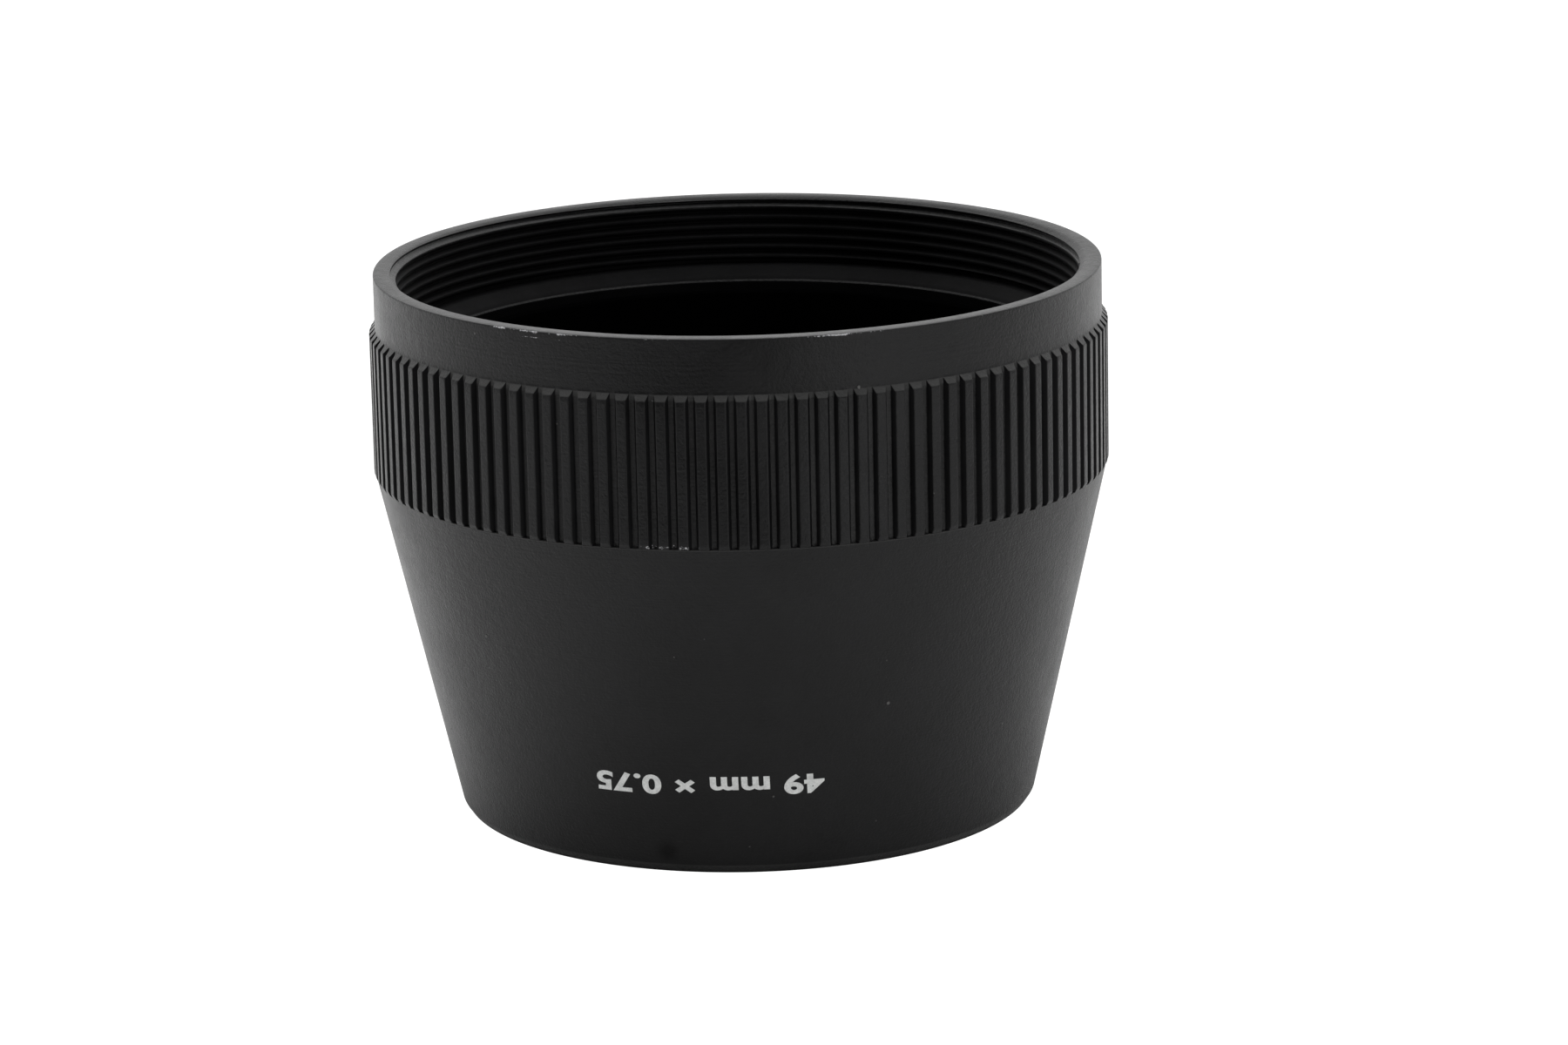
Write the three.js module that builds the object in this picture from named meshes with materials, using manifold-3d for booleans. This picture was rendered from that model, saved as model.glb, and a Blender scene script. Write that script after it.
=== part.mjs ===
// Screw-in conical lens hood with a turning knurled mount ring.
// Units are millimetres. The origin is the centre of the narrow end's foot, +Z runs up the optical axis.
import * as THREE from "three";
import { mergeVertices } from "three/addons/utils/BufferGeometryUtils.js";
import Module from "manifold-3d";

// Driving dimensions -------------------------------------------------------------------------

const SEGMENTS = 72; // facets round every turned piece
const HEIGHT = 38.76;

// Cone and neck
const FOOT_R = 20.26;
const FOOT_CHAMFER_R = 20.62;
const FOOT_CHAMFER_Z = 0.52;
const CONE_TOP_R = 25.97;
const SHOULDER_Z = 24.35;
const NECK_R = 24.04;
const NECK_TOP_Z = 31.3;
const NECK_BORE_R = 22.7;
const NECK_BORE_Z = 24.87;
const FRONT_BORE_R = 19.38;
const FRONT_BORE_Z = 2.28;
const WIRE_GROOVE_Z = [30.05, 30.68];
const NECK_GROOVE_R = 23.58;

// Knurled mount ring
const RIM_R = 25.7;
const BAND_R = 26.11;
const BAND_Z = [24.41, 34.51];
const RIB_END_CHAMFER = [0.12, 0.26]; // depth and height of the ribs' lower chamfer
const BAND_TOP_Z = 34.96;
const RIBS = 120;
const RIB_SHARE_TOP = 0.46; // share of one pitch that the rib's outer face fills
const RIB_SHARE_ROOT = 0.74; // and the rib's root
const RIB_START = 0.19; // turn of the first rib's middle, in rib pitches
const RUNNING_BORE_R = 24.12;
const RING_GROOVE_R = 24.48;
const FELT_POCKET_R = 24.87;
const FELT_POCKET_Z = 24.81;
const LIP_Z = 32.12;
const LIP_R = 22.85;
const LIP_EDGE_Z = 32.56;
const SKIRT_R = 23.16;
const SKIRT_Z = 31.71;
const TAPER_LOW = [23.11, 32.95]; // radius and height of the tapered wall's ends
const TAPER_HIGH = [23.9, 33.62];
const RELIEF_R = 24.58;
const RELIEF_Z = [33.72, 33.95];

// Lens thread, M49 x 0.75, internal
const THREAD_PITCH = 0.75;
const THREAD_CREST_R = 24.1;
const THREAD_ROOT_R = 24.53;
const THREAD_ROOT_FLAT = 0.12;
const THREAD_MOUTH_FLAT = 0.63;
const THREAD_START_Z = 33.665; // middle of the groove at turn 0
const THREAD_TURNS = [0.5, 6.5]; // first and last turn of the groove
const RELIEF_CONE_Z = 34.15; // top of the cone from the relief to the crest
const LEAD_IN_Z = 38.35;
const MOUTH_R = 24.56;

// Hidden pieces
const WIRE_R = [23.69, 24.35];
const WIRE_Z = [30.11, 30.61];
const WIRE_GAP_DEG = 9;
const SPRING_R = [23.27, 23.94];
const SPRING_THICKNESS = 0.19;
const SPRING_WAVE = 0.13;
const SPRING_WAVES = 6;
const SPRING_MID_Z = 31.59;
const WASHER_R = [23.27, 23.99];
const WASHER_Z = [31.88, 32.08];
const FELT_R = [24.17, 24.79];
const FELT_Z = [24.38, 24.77];
const LINER_THICKNESS = 0.62;
const LINER_GAP = 0.05;
const FRONT_RING_R = [18.24, 19.33];
const FRONT_RING_Z = [0.21, 2.18];
const FRONT_RING_BEVEL = 0.47;
const SPANNER_SLOT = [1.24, 0.73];

// Materials ----------------------------------------------------------------------------------

function finish(color, roughness, metalness) {
  return new THREE.MeshStandardMaterial({ color, roughness, metalness });
}

const BLACK_PAINT = finish(0x17181a, 0.45, 0.2);
const BLACK_ANODISED = finish(0x101012, 0.38, 0.4);
const FLOCK = finish(0x040404, 1.0, 0.0);
const FELT = finish(0x161616, 0.95, 0.0);
const STEEL = finish(0x9a9ca0, 0.3, 1.0);
const BRASS = finish(0xb08d4a, 0.35, 1.0);

// Solid helpers ------------------------------------------------------------------------------

const wasm = await Module();
wasm.setup();

// Closed triangle mesh as a manifold solid.
function toSolid(geometry) {
  const bare = geometry.clone();
  bare.deleteAttribute("normal");
  bare.deleteAttribute("uv");
  const merged = mergeVertices(bare, 1e-5);
  return new wasm.Manifold(
    new wasm.Mesh({
      numProp: 3,
      vertProperties: merged.attributes.position.array,
      triVerts: new Uint32Array(merged.index.array),
    }),
  );
}

// Manifold solid back to three.js geometry.
function toGeometry(solid) {
  const mesh = solid.getMesh();
  const geometry = new THREE.BufferGeometry();
  geometry.setAttribute("position", new THREE.BufferAttribute(mesh.vertProperties, 3));
  geometry.setIndex(new THREE.BufferAttribute(mesh.triVerts, 1));
  const flat = geometry.toNonIndexed();
  flat.computeVertexNormals();
  return flat;
}

// Turned piece from [radius, height] corners, listed anticlockwise with radius to the right.
function turned(corners, segments = SEGMENTS) {
  const profile = [...corners, corners[0]].map(([r, z]) => new THREE.Vector2(r, z));
  const geometry = new THREE.LatheGeometry(profile, segments);
  geometry.rotateX(Math.PI / 2);
  return geometry;
}

// Surface through rings of equal point count, closed by a fan over the first and last ring.
function lofted(rings) {
  const count = rings[0].length;
  const positions = rings.flat(2);
  const index = [];
  for (let row = 0; row + 1 < rings.length; row++) {
    for (let i = 0; i < count; i++) {
      const a = row * count + i;
      const b = row * count + ((i + 1) % count);
      index.push(a, b, a + count, b, b + count, a + count);
    }
  }
  const lowCentre = positions.length / 3;
  const highCentre = lowCentre + 1;
  const top = (rings.length - 1) * count;
  positions.push(0, 0, rings[0][0][2], 0, 0, rings.at(-1)[0][2]);
  for (let i = 0; i < count; i++) {
    const next = (i + 1) % count;
    index.push(lowCentre, next, i);
    index.push(highCentre, top + i, top + next);
  }
  const geometry = new THREE.BufferGeometry();
  geometry.setAttribute("position", new THREE.Float32BufferAttribute(positions, 3));
  geometry.setIndex(index);
  return geometry;
}

// Section of fixed [radius, height] corners carried round the axis, rising or waving by lift(turn).
function swept(section, startTurn, endTurn, segments, lift) {
  const closed = endTurn - startTurn === 1 && lift(startTurn) === lift(endTurn);
  const count = section.length;
  const stations = closed ? segments : segments + 1;
  const positions = [];
  for (let s = 0; s < stations; s++) {
    const turn = startTurn + ((endTurn - startTurn) * s) / segments;
    const angle = 2 * Math.PI * turn;
    for (const [r, z] of section) {
      positions.push(r * Math.cos(angle), r * Math.sin(angle), z + lift(turn));
    }
  }
  const index = [];
  for (let s = 0; s < segments; s++) {
    const here = s * count;
    const next = ((s + 1) % stations) * count;
    for (let i = 0; i < count; i++) {
      const j = (i + 1) % count;
      index.push(here + i, next + i, next + j, here + i, next + j, here + j);
    }
  }
  if (!closed) {
    const last = segments * count;
    for (let i = 1; i + 1 < count; i++) {
      index.push(0, i, i + 1);
      index.push(last, last + i + 1, last + i);
    }
  }
  const geometry = new THREE.BufferGeometry();
  geometry.setAttribute("position", new THREE.Float32BufferAttribute(positions, 3));
  geometry.setIndex(index);
  return geometry;
}

function rectangle([r0, r1], [z0, z1]) {
  return [
    [r0, z0],
    [r1, z0],
    [r1, z1],
    [r0, z1],
  ];
}

// Pieces -------------------------------------------------------------------------------------

const part = new THREE.Group();

function add(name, geometry, material) {
  const mesh = new THREE.Mesh(geometry, material);
  mesh.name = name;
  part.add(mesh);
}

// Conical shell with the neck that the mount ring runs on.
add(
  "hood_cone",
  turned([
    [FRONT_BORE_R, 0],
    [FOOT_R, 0],
    [FOOT_CHAMFER_R, FOOT_CHAMFER_Z],
    [CONE_TOP_R, SHOULDER_Z],
    [NECK_R, SHOULDER_Z],
    [NECK_R, WIRE_GROOVE_Z[0]],
    [NECK_GROOVE_R, WIRE_GROOVE_Z[0]],
    [NECK_GROOVE_R, WIRE_GROOVE_Z[1]],
    [NECK_R, WIRE_GROOVE_Z[1]],
    [NECK_R, NECK_TOP_Z],
    [NECK_BORE_R, NECK_TOP_Z],
    [NECK_BORE_R, NECK_BORE_Z],
    [FRONT_BORE_R, FRONT_BORE_Z],
  ]),
  BLACK_PAINT,
);

// One ring of the knurl's outline at height z: four corners to a rib.
function knurlRing(ribR, grooveR, z) {
  const ring = [];
  for (let rib = 0; rib < RIBS; rib++) {
    const corners = [
      [-RIB_SHARE_ROOT / 2, grooveR],
      [-RIB_SHARE_TOP / 2, ribR],
      [RIB_SHARE_TOP / 2, ribR],
      [RIB_SHARE_ROOT / 2, grooveR],
    ];
    for (const [share, r] of corners) {
      const angle = (2 * Math.PI * (rib + RIB_START + share)) / RIBS;
      ring.push([r * Math.cos(angle), r * Math.sin(angle), z]);
    }
  }
  return ring;
}

// Knurled mount ring: ribbed band, plain rim, internal lens thread, tapered wall, lip and skirt.
function mountRing() {
  const outside = lofted([
    knurlRing(BAND_R - RIB_END_CHAMFER[0], RIM_R, BAND_Z[0]),
    knurlRing(BAND_R, RIM_R, BAND_Z[0] + RIB_END_CHAMFER[1]),
    knurlRing(BAND_R, RIM_R, BAND_Z[1]),
    knurlRing(RIM_R, RIM_R, BAND_TOP_Z),
    knurlRing(RIM_R, RIM_R, HEIGHT),
  ]);
  const bore = turned([
    [0, BAND_Z[0] - 1],
    [FELT_POCKET_R, BAND_Z[0] - 1],
    [FELT_POCKET_R, FELT_POCKET_Z],
    [RUNNING_BORE_R, FELT_POCKET_Z],
    [RUNNING_BORE_R, WIRE_GROOVE_Z[0]],
    [RING_GROOVE_R, WIRE_GROOVE_Z[0]],
    [RING_GROOVE_R, WIRE_GROOVE_Z[1]],
    [RUNNING_BORE_R, WIRE_GROOVE_Z[1]],
    [RUNNING_BORE_R, LIP_Z],
    [SKIRT_R, LIP_Z],
    [SKIRT_R, SKIRT_Z],
    [LIP_R, SKIRT_Z],
    [LIP_R, LIP_EDGE_Z],
    TAPER_LOW,
    TAPER_HIGH,
    [RELIEF_R, RELIEF_Z[0]],
    [RELIEF_R, RELIEF_Z[1]],
    [THREAD_CREST_R, RELIEF_CONE_Z],
    [THREAD_CREST_R, LEAD_IN_Z],
    [MOUTH_R, HEIGHT],
    [MOUTH_R, HEIGHT + 1],
    [0, HEIGHT + 1],
  ]);
  const innerR = THREAD_CREST_R - 0.15;
  const groove = [
    [innerR, -THREAD_MOUTH_FLAT / 2],
    [THREAD_CREST_R, -THREAD_MOUTH_FLAT / 2],
    [THREAD_ROOT_R, -THREAD_ROOT_FLAT / 2],
    [THREAD_ROOT_R, THREAD_ROOT_FLAT / 2],
    [THREAD_CREST_R, THREAD_MOUTH_FLAT / 2],
    [innerR, THREAD_MOUTH_FLAT / 2],
  ];
  const [first, last] = THREAD_TURNS;
  const rise = (turn) => THREAD_START_Z + THREAD_PITCH * turn;
  const helix = swept(groove, first, last, Math.round((last - first) * SEGMENTS), rise);
  return toGeometry(toSolid(outside).subtract(toSolid(bore)).subtract(toSolid(helix)));
}

add("mount_ring", mountRing(), BLACK_PAINT);

// Split wire that snaps into both grooves and keeps the mount ring on the neck.
const wireSpan = 1 - WIRE_GAP_DEG / 360;
add(
  "snap_wire",
  swept(rectangle(WIRE_R, WIRE_Z), 0.25, 0.25 + wireSpan, SEGMENTS, () => 0),
  STEEL,
);

// Wave spring that takes up the mount ring's end play.
const springZ = [SPRING_MID_Z - SPRING_THICKNESS / 2, SPRING_MID_Z + SPRING_THICKNESS / 2];
add(
  "wave_spring",
  toGeometry(
    toSolid(
      swept(rectangle(SPRING_R, springZ), 0, 1, SEGMENTS, (turn) =>
        turn === 1 ? SPRING_WAVE : SPRING_WAVE * Math.cos(2 * Math.PI * SPRING_WAVES * turn),
      ),
    ),
  ),
  STEEL,
);

// Flat washer that the mount ring's lip slides on.
add("slip_washer", turned(rectangle(WASHER_R, WASHER_Z)), BRASS);

// Felt ring in the seam, which gives the mount ring its smooth drag and keeps grit out.
add("drag_felt", turned(rectangle(FELT_R, FELT_Z)), FELT);

// Flocked light-trap sleeve.
const linerTop = NECK_BORE_R - LINER_GAP;
const linerFoot = FRONT_BORE_R - LINER_GAP;
add(
  "flock_liner",
  turned([
    [linerFoot - LINER_THICKNESS, FRONT_BORE_Z],
    [linerFoot, FRONT_BORE_Z],
    [linerTop, NECK_BORE_Z],
    [linerTop, LIP_Z - 0.1],
    [linerTop - LINER_THICKNESS, LIP_Z - 0.1],
    [linerTop - LINER_THICKNESS, NECK_BORE_Z],
  ]),
  FLOCK,
);

// Threaded-in front ring that holds the liner, with two spanner slots.
function frontRing() {
  const [innerR, outerR] = FRONT_RING_R;
  const [lowZ, highZ] = FRONT_RING_Z;
  const ring = turned([
    [innerR + FRONT_RING_BEVEL, lowZ],
    [outerR, lowZ],
    [outerR, highZ],
    [innerR, highZ],
    [innerR, lowZ + FRONT_RING_BEVEL],
  ]);
  const [slotWidth, slotDepth] = SPANNER_SLOT;
  const slots = new THREE.BoxGeometry(2 * outerR + 2, slotWidth, 2 * slotDepth);
  slots.translate(0, 0, lowZ);
  return toGeometry(toSolid(ring).subtract(toSolid(slots)));
}

add("front_ring", frontRing(), BLACK_ANODISED);

export default part;
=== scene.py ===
"""Looks of a conical lens hood: knurled mount ring, tapered shell, flocked lining and hidden rings."""

import math

import bmesh
import bpy
import numpy as np
from mathutils import Matrix, Vector


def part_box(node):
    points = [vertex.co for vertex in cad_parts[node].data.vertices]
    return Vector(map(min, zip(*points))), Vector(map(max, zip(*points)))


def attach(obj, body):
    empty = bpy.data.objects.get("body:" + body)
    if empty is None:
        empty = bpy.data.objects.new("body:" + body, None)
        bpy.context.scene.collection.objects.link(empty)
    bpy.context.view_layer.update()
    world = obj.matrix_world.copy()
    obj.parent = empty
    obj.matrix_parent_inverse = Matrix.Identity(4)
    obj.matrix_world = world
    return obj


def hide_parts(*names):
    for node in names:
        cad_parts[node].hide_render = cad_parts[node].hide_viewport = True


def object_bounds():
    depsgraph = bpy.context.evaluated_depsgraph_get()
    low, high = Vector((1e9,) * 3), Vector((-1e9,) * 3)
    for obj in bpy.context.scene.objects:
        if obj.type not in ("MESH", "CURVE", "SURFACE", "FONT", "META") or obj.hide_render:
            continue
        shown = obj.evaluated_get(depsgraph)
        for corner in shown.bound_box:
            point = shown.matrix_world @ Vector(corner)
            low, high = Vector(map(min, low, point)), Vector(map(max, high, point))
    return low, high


bl_info = {
    "name": "Lens hood",
    "version": (1, 0, 0),
    "blender": (4, 5, 0),
    "location": "View3D > Sidebar > Lens hood",
    "description": "Builds the knurled ring, shell, lining and small rings of a lens hood",
    "category": "Object",
}

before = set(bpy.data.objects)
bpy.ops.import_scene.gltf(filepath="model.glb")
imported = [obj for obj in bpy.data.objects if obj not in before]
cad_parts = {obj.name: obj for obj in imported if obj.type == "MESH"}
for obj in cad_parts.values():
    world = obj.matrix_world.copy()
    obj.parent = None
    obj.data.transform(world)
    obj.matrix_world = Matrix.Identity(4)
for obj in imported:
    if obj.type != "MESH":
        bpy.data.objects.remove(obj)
CAD_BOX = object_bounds()

MM = 0.001
TAU = 2 * math.pi
CORNER = 0.06 * MM  # the edge break that turning leaves
MERGE_GAP = 0.0004 * MM  # points closer than this are one point
SMOOTH_ANGLE = math.radians(38)  # edges sharper than this shade as hard edges
# Grey of the dust specks; the same grey also paints highlights on chamfers, edges and groove floors.
DUST_AND_HIGHLIGHT_GREY = (0.34, 0.34, 0.33, 1.0)
PAINT_GRAIN_CELLS = 5200.0  # to the metre


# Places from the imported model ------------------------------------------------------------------


def cad_corners(node):
    """Radius (distance from the Z axis) and height of every vertex of a CAD node, as two arrays."""
    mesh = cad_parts[node].data
    co = np.empty(len(mesh.vertices) * 3, np.float32)
    mesh.vertices.foreach_get("co", co)
    co = co.reshape(-1, 3).astype(float)
    return np.hypot(co[:, 0], co[:, 1]), co[:, 2]


def cad_radius(node, height, pick=max):
    """The largest (or smallest) corner radius that a CAD node has within 0.02 mm of a height."""
    radius, z = cad_corners(node)
    return float(pick(radius[np.abs(z - height) < 0.02 * MM]))


RING_LOW, RING_HIGH = (corner.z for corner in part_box("mount_ring"))
BAND_R = float(cad_corners("mount_ring")[0].max())
RIM_R = cad_radius("mount_ring", RING_HIGH)
MOUTH_R = cad_radius("mount_ring", RING_HIGH, min)


class HoodSizes(bpy.types.PropertyGroup):
    """Sizes that shape the visible pieces."""

    rib_count: bpy.props.IntProperty(
        name="Ribs", description="Ribs round the knurled band", default=120, min=12
    )
    rib_top_share: bpy.props.FloatProperty(
        name="Rib face share", description="Part of one rib pitch that the rib's face fills", default=0.46
    )
    rib_root_share: bpy.props.FloatProperty(
        name="Rib root share", description="Part of one rib pitch that the rib's root fills", default=0.74
    )
    band_high: bpy.props.FloatProperty(
        name="Rib shoulder",
        description="Height where the ribs' top chamfer starts",
        default=34.51 * MM,
        unit="LENGTH",
    )
    band_run_out: bpy.props.FloatProperty(
        name="Rib run-out",
        description="Height where the ribs' top chamfer meets the rim",
        default=34.96 * MM,
        unit="LENGTH",
    )
    thread_pitch: bpy.props.FloatProperty(
        name="Thread pitch",
        description="Rise of the lens thread in one turn",
        default=0.75 * MM,
        unit="LENGTH",
    )
    thread_crest: bpy.props.FloatProperty(
        name="Thread crest radius",
        description="Radius of the lens thread's crest",
        default=24.1 * MM,
        unit="LENGTH",
    )
    thread_root: bpy.props.FloatProperty(
        name="Thread root radius",
        description="Radius of the lens thread's root",
        default=24.53 * MM,
        unit="LENGTH",
    )
    relief_radius: bpy.props.FloatProperty(
        name="Relief radius",
        description="Radius of the plain groove under the thread",
        default=24.58 * MM,
        unit="LENGTH",
    )
    rib_start: bpy.props.FloatProperty(
        name="Rib start", description="Turn of the first rib's middle, in rib pitches", default=0.19
    )


class SizeMark(bpy.types.PropertyGroup):
    """Printed size mark on the shell."""

    words: bpy.props.StringProperty(name="Words", description="Generic size mark", default="49 mm × 0.75")
    length: bpy.props.FloatProperty(
        name="Length", description="Length of the print along the shell", default=16.06 * MM, unit="LENGTH"
    )
    cap_height: bpy.props.FloatProperty(
        name="Cap height", description="Height of the figures", default=1.55 * MM, unit="LENGTH"
    )
    height: bpy.props.FloatProperty(
        name="Height",
        description="Height of the print's middle above the foot",
        default=6.74 * MM,
        unit="LENGTH",
    )
    turn: bpy.props.FloatProperty(
        name="Turn", description="Angle of the print's middle from the front", default=-0.121, subtype="ANGLE"
    )
    boldness: bpy.props.FloatProperty(name="Boldness", description="Thickening of the strokes", default=0.034)
    word_gap: bpy.props.FloatProperty(name="Word gap", description="Space between words", default=1.0)
    letter_gap: bpy.props.FloatProperty(name="Letter gap", description="Space between figures", default=1.05)
    thickness: bpy.props.FloatProperty(
        name="Ink thickness",
        description="How far the ink stands off the paint",
        default=0.02 * MM,
        unit="LENGTH",
    )


class HoodFinish(bpy.types.PropertyGroup):
    """Colours of the finishes."""

    paint: bpy.props.FloatVectorProperty(
        name="Satin black",
        description="Colour of the stove paint",
        default=(0.0026, 0.0026, 0.0028),
        size=3,
        subtype="COLOR",
    )
    roughness: bpy.props.FloatProperty(
        name="Paint roughness",
        description="Roughness of the stove paint",
        default=0.42,
        subtype="FACTOR",
        min=0,
        max=1,
    )
    grain_depth: bpy.props.FloatProperty(
        name="Grain depth", description="Height of the paint's grain", default=0.048 * MM, unit="LENGTH"
    )
    bare_metal: bpy.props.FloatVectorProperty(
        name="Bare metal",
        description="Aluminium where the paint has rubbed off",
        default=(0.36, 0.36, 0.37),
        size=3,
        subtype="COLOR",
    )
    print_ink: bpy.props.FloatVectorProperty(
        name="Print",
        description="Colour of the printed size mark",
        default=(0.62, 0.63, 0.62),
        size=3,
        subtype="COLOR",
    )
    floor: bpy.props.FloatVectorProperty(
        name="Floor",
        description="Colour of the studio floor",
        default=(1.0, 1.0, 1.0),
        size=3,
        subtype="COLOR",
    )


# Mesh helpers ----------------------------------------------------------------------------------


def rounded(corners, radius, steps=3):
    """Closed profile with each corner replaced by an arc. For a corner with unit directions a and b to its
    neighbours, the arc runs from corner + t a to corner + t b, on the quadratic curve through the corner,
    with t the smaller of radius and 0.4 times each neighbouring side. One more point stands 1.2 t out on
    each side, to hold the shading."""
    points = np.asarray([c[:2] for c in corners], float)
    wanted = np.asarray([c[2] if len(c) > 2 else radius for c in corners], float)
    before, after = np.roll(points, 1, 0) - points, np.roll(points, -1, 0) - points
    la, lb = np.linalg.norm(before, axis=1), np.linalg.norm(after, axis=1)
    t = np.minimum(wanted, 0.4 * np.minimum(la, lb))
    start = points + before * (t / la)[:, None]
    end = points + after * (t / lb)[:, None]
    s = np.linspace(0, 1, steps + 1)[None, :, None]
    arcs = (1 - s) ** 2 * start[:, None] + 2 * s * (1 - s) * points[:, None] + s**2 * end[:, None]
    lead = (points + before * (1.2 * t / la)[:, None])[:, None]
    trail = (points + after * (1.2 * t / lb)[:, None])[:, None]
    return np.concatenate([lead, arcs, trail], 1).reshape(-1, 2)


def grid_faces(rows, columns, wrap_rows, wrap_columns):
    """Quads of a rows by columns grid, point (i, j) at index i * columns + j, each with its right-hand side
    outwards."""
    i = np.arange(rows if wrap_rows else rows - 1)
    j = np.arange(columns if wrap_columns else columns - 1)
    i, j = np.meshgrid(i, j, indexing="ij")
    i2, j2 = (i + 1) % rows, (j + 1) % columns
    return np.stack(
        [i * columns + j, i2 * columns + j, i2 * columns + j2, i * columns + j2], -1
    ).reshape(-1, 4)


def mesh_object(name, points, face_groups, body, node=None, masks=None):
    """Object from a point array and arrays of faces, one array for each number of sides. Doubles are
    merged, faces of no area dropped and normals turned outwards. masks holds one value a point under each
    attribute name."""
    mesh = bpy.data.meshes.new(name)
    sizes = np.concatenate([np.full(len(f), f.shape[1]) for f in face_groups])
    loops = np.concatenate([f.ravel() for f in face_groups])
    mesh.vertices.add(len(points))
    mesh.vertices.foreach_set("co", np.asarray(points, np.float32).ravel())
    mesh.loops.add(len(loops))
    mesh.loops.foreach_set("vertex_index", loops.astype(np.int32))
    mesh.polygons.add(len(sizes))
    mesh.polygons.foreach_set("loop_start", np.concatenate([[0], np.cumsum(sizes)[:-1]]).astype(np.int32))
    mesh.polygons.foreach_set("loop_total", sizes.astype(np.int32))
    for mask, values in (masks or {}).items():
        attribute = mesh.attributes.new(mask, "FLOAT", "POINT")
        attribute.data.foreach_set("value", np.asarray(values, np.float32).ravel())
    mesh.update(calc_edges=True)
    shape = bmesh.new()
    shape.from_mesh(mesh)
    bmesh.ops.remove_doubles(shape, verts=shape.verts, dist=MERGE_GAP)
    bmesh.ops.dissolve_degenerate(shape, edges=shape.edges, dist=0.0002 * MM)
    bmesh.ops.recalc_face_normals(shape, faces=shape.faces)
    for face in shape.faces:
        face.smooth = True
    shape.to_mesh(mesh)
    shape.free()
    mesh.set_sharp_from_angle(angle=SMOOTH_ANGLE)
    obj = bpy.data.objects.new(name, mesh)
    bpy.context.scene.collection.objects.link(obj)
    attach(obj, body)
    if node:
        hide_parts(node)
    return obj


def turned(profile, stations, start=0.0, span=TAU):
    """Points of a profile carried round Z, rows by stations: (r cos a, r sin a, z) for each profile point
    (r, z)."""
    a = start + np.arange(stations) * (span / stations if span == TAU else span / (stations - 1))
    r, z = profile[:, 0][:, None], profile[:, 1][:, None]
    return np.stack([r * np.cos(a), r * np.sin(a), z + 0 * a], -1)


def turned_piece(name, profile, stations, body, node):
    """Closed turned piece."""
    points = turned(profile, stations)
    faces = grid_faces(len(profile), stations, True, True)
    return mesh_object(name, points.reshape(-1, 3), [faces], body, node)


# Materials -------------------------------------------------------------------------------------


class Nodes:
    """Short way to add and link shader nodes in one tree."""

    def __init__(self, tree):
        self.tree = tree
        tree.nodes.clear()

    def add(self, kind, **values):
        """New node. Keys that name an attribute set it, and the others set inputs by name: a socket there
        makes a link."""
        node = self.tree.nodes.new(kind)
        inputs = values.pop("inputs", {})
        for key, value in values.items():
            setattr(node, key, value)
        for key, value in inputs.items():
            socket = node.inputs[key]
            if isinstance(value, bpy.types.NodeSocket):
                self.tree.links.new(value, socket)
            else:
                socket.default_value = value
        return node

    def math(self, operation, a, b=0.0, c=0.0, clamp=False):
        """Result of one Math node."""
        return self.add(
            "ShaderNodeMath", operation=operation, use_clamp=clamp, inputs={0: a, 1: b, 2: c}
        ).outputs[0]

    def ramp(self, value, low, high, to_low=0.0, to_high=1.0):
        """value from low..high carried to to_low..to_high on a smooth step."""
        inputs = {"Value": value, "From Min": low, "From Max": high, "To Min": to_low, "To Max": to_high}
        return self.add(
            "ShaderNodeMapRange", interpolation_type="SMOOTHSTEP", inputs=inputs
        ).outputs["Result"]

    def mix(self, share, a, b):
        """Colour a where share is 0 and b where it is 1."""
        node = self.add("ShaderNodeMix", data_type="RGBA")
        for index, value in ((0, share), (6, a), (7, b)):
            if isinstance(value, bpy.types.NodeSocket):
                self.tree.links.new(value, node.inputs[index])
            else:
                node.inputs[index].default_value = value
        return node.outputs[2]

    def noise(self, vector, scale, detail=2.0, roughness=0.5, **more):
        """Noise texture's value, scale in cells to a metre."""
        inputs = {"Vector": vector, "Scale": scale, "Detail": detail, "Roughness": roughness, **more}
        return self.add("ShaderNodeTexNoise", inputs=inputs).outputs["Fac"]


def node_group(name, inputs, outputs):
    """New shader node group with named sockets, and its Nodes, its input sockets and its output node."""
    group = bpy.data.node_groups.new(name, "ShaderNodeTree")
    for socket, kind, value in inputs:
        item = group.interface.new_socket(socket, in_out="INPUT", socket_type=kind)
        if value is not None:
            item.default_value = value
    for socket, kind in outputs:
        group.interface.new_socket(socket, in_out="OUTPUT", socket_type=kind)
    n = Nodes(group)
    return group, n, n.add("NodeGroupInput").outputs, n.add("NodeGroupOutput").inputs


FLOAT, VECTOR = "NodeSocketFloat", "NodeSocketVector"


def grain_group():
    """Stove-paint grain: a fine and a coarse noise added for the height, and a slow cloud for tone."""
    group, n, given, out = node_group(
        "Paint grain",
        [("Vector", VECTOR, None), ("Cells per metre", FLOAT, 9000.0)],
        [("Height", FLOAT), ("Cloud", FLOAT)],
    )
    fine = n.noise(given["Vector"], given["Cells per metre"], 3.0, 0.65)
    coarse = n.noise(given["Vector"], n.math("MULTIPLY", given["Cells per metre"], 0.28), 2.0, 0.5)
    n.tree.links.new(n.math("MULTIPLY_ADD", coarse, 0.6, fine), out["Height"])
    n.tree.links.new(n.noise(given["Vector"], 160.0, 3.0, 0.6), out["Cloud"])
    return group


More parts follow.
